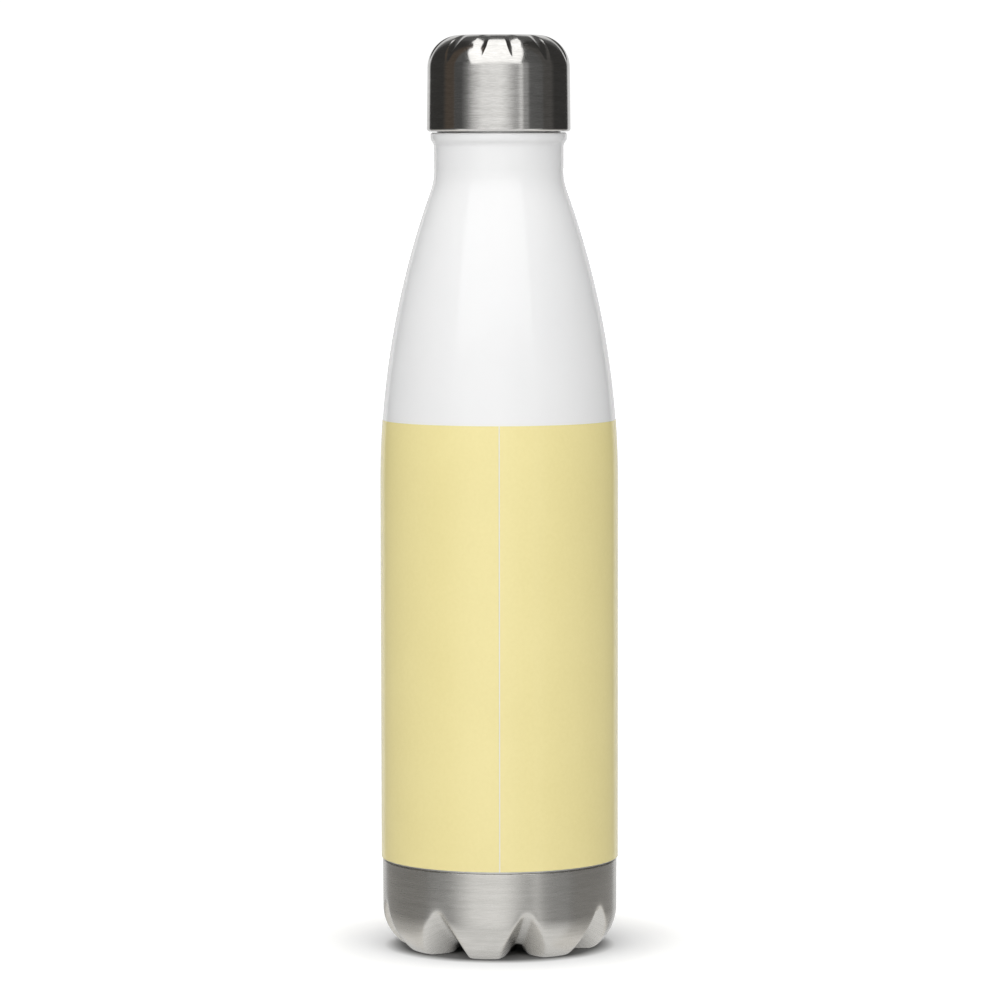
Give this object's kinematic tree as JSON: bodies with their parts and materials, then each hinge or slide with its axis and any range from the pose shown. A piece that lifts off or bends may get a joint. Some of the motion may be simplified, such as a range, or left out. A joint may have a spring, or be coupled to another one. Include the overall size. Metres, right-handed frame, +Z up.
{
  "type": "water bottle",
  "caption": "Slim double-wall steel water bottle with a white shoulder and neck, a pale yellow barrel, a bare steel scooped screw cap and a bare steel footed base.",
  "frame": {"origin": "centre of the base, on the plane the feet stand on", "axes": "+Z up along the bottle, -Y towards the printed film's seam, which is the side the bottle is seen from"},
  "size_m": [0.0696, 0.0696, 0.267],
  "materials": {
    "cap_steel": "brushed round the cap, bare",
    "base_steel": "brushed round the base, bare",
    "flask_steel": "electropolished drink side and lip",
    "shell_steel": "mill finish under the coat, satin on the collar",
    "white_enamel": "high gloss",
    "yellow_print": "satin gloss film",
    "stopper_plastic": "fine moulded satin",
    "gasket_silicone": "translucent satin",
    "insulating_foam": "open cell",
    "copper_foil": "bright foil",
    "getter_metal": "sintered",
    "solder_glass": "fused bead"
  },
  "bodies": {
    "bottle": {"outer_shell": "shell_steel", "enamel_coat": "white_enamel", "printed_wrap": "yellow_print", "base_cup": "base_steel", "base_disc": "base_steel", "vacuum_seal_bead": "solder_glass", "inner_liner": "flask_steel", "liner_bottom": "flask_steel", "copper_wrap": "copper_foil", "getter_capsule": "getter_metal", "getter_strap": "shell_steel"},
    "seal": {"seal_gasket": "gasket_silicone"},
    "cap": {"cap_shell": "cap_steel", "stopper_body": "stopper_plastic", "stopper_end_cap": "stopper_plastic", "foam_core": "insulating_foam"}
  },
  "joints": [
    {"name": "thread_rise", "type": "slide", "parent": "bottle", "child": "seal", "axis": [0, 0, 1], "range_m": [0, 0.036]},
    {"name": "cap_turn", "type": "hinge", "parent": "seal", "child": "cap", "pos_m": [0, 0, 0.25], "axis": [0, 0, 1], "range_deg": [0, 2160]}
  ],
  "couplings": [
    {"joint": "thread_rise", "follows": "cap_turn", "m_per_rad": 0.00095493}
  ]
}
